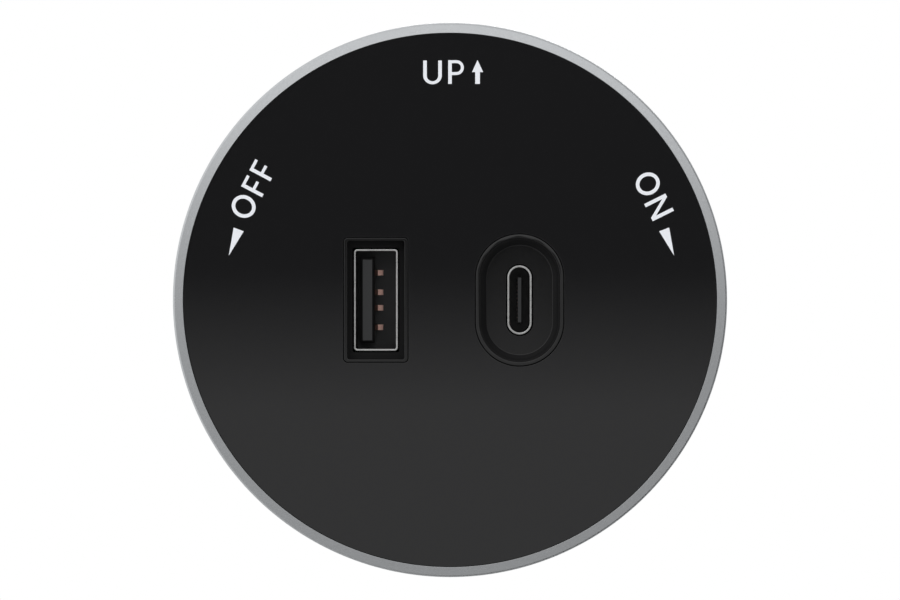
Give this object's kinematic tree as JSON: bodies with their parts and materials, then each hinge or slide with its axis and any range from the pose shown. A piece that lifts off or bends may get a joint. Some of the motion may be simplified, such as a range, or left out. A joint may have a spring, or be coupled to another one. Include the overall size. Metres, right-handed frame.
{
  "type": "power track usb socket",
  "caption": "Round USB socket for a power track: a glossy face with a USB-A and a USB-C port turns a quarter turn on its keyed guide plate to carry the T-shaped contact head behind the lips.",
  "frame": {"origin": "on the turning axis, in the plane where the guide plate seats on the track", "axes": "+Z is the UP mark, -Y looks out of the face, +Y goes into the track along the turning axis"},
  "size_m": [0.071, 0.0514, 0.071],
  "materials": {
    "silver_trim": "fine satin metallic paint",
    "gloss_black": "polished",
    "collar_black": "fine satin",
    "nickel": "bright nickel plate",
    "tongue_black": "moulded insulator",
    "contact_gold": "plated copper alloy",
    "chassis_black": "moulded, fine grain",
    "housing_black": "moulded, fine spark texture",
    "guide_grey": "moulded, slightly greasy slide finish",
    "head_black": "glass filled, matt",
    "screw_steel": "zinc plate",
    "spring_steel": "spring temper",
    "shoe_brass": "rubbed brass",
    "terminal_brass": "stamped brass",
    "live_brown": "lead insulation",
    "neutral_blue": "lead insulation",
    "board_green": "solder mask",
    "chip_black": "moulded package",
    "can_silver": "drawn can",
    "can_sleeve": "shrunk sleeve",
    "ferrite": "ground ferrite",
    "winding_tape": "yellow winding tape",
    "pin_tin": "tinned",
    "fuse_body": "ceramic tube",
    "insulation": "insulation paper",
    "mark_white": "printed ink of the marks UP, OFF and ON"
  },
  "bodies": {
    "guide": {"guide_plate": "guide_grey", "detent_spring": "spring_steel"},
    "socket": {"trim_ring": "silver_trim", "face_plate": "gloss_black", "usb_a_collar": "collar_black", "usb_c_collar": "collar_black", "usb_a_shell": "nickel", "usb_a_tongue": "tongue_black", "usb_a_contacts": "contact_gold", "usb_c_shell": "nickel", "usb_c_tongue": "tongue_black", "usb_c_contacts": "contact_gold", "front_chassis": "chassis_black", "port_board": "board_green", "port_board_screws": "screw_steel", "charge_controllers": "chip_black", "output_capacitors": "can_silver", "header_body": "chip_black", "header_pins": "pin_tin", "power_board": "board_green", "power_board_screws": "screw_steel", "transformer_core": "ferrite", "transformer_winding": "winding_tape", "input_capacitor": "can_sleeve", "fuse": "fuse_body", "bridge_rectifier": "chip_black", "choke": "ferrite", "back_housing": "housing_black", "housing_screws": "screw_steel", "insulation_sheet": "insulation", "contact_head": "head_black", "head_screws": "screw_steel", "head_cap": "head_black", "cap_screws": "screw_steel", "live_spring": "spring_steel", "neutral_spring": "spring_steel", "live_terminal": "terminal_brass", "neutral_terminal": "terminal_brass", "live_lead": "live_brown", "neutral_lead": "neutral_blue"},
    "live_contact": {"live_shoe": "shoe_brass"},
    "neutral_contact": {"neutral_shoe": "shoe_brass"}
  },
  "joints": [
    {"name": "twist", "type": "hinge", "parent": "guide", "child": "socket", "pos_m": [0, 0, 0], "axis": [0, 1, 0], "range_deg": [0, 90], "deforming": ["detent_spring"]},
    {"name": "live_press", "type": "slide", "parent": "socket", "child": "live_contact", "axis": [1, 0, 0], "range_m": [0, 0.001], "stiffness_N_per_m": 2000, "springref_m": -0.0015, "deforming": ["live_spring"]},
    {"name": "neutral_press", "type": "slide", "parent": "socket", "child": "neutral_contact", "axis": [-1, 0, 0], "range_m": [0, 0.001], "stiffness_N_per_m": 2000, "springref_m": -0.0015, "deforming": ["neutral_spring"]}
  ]
}
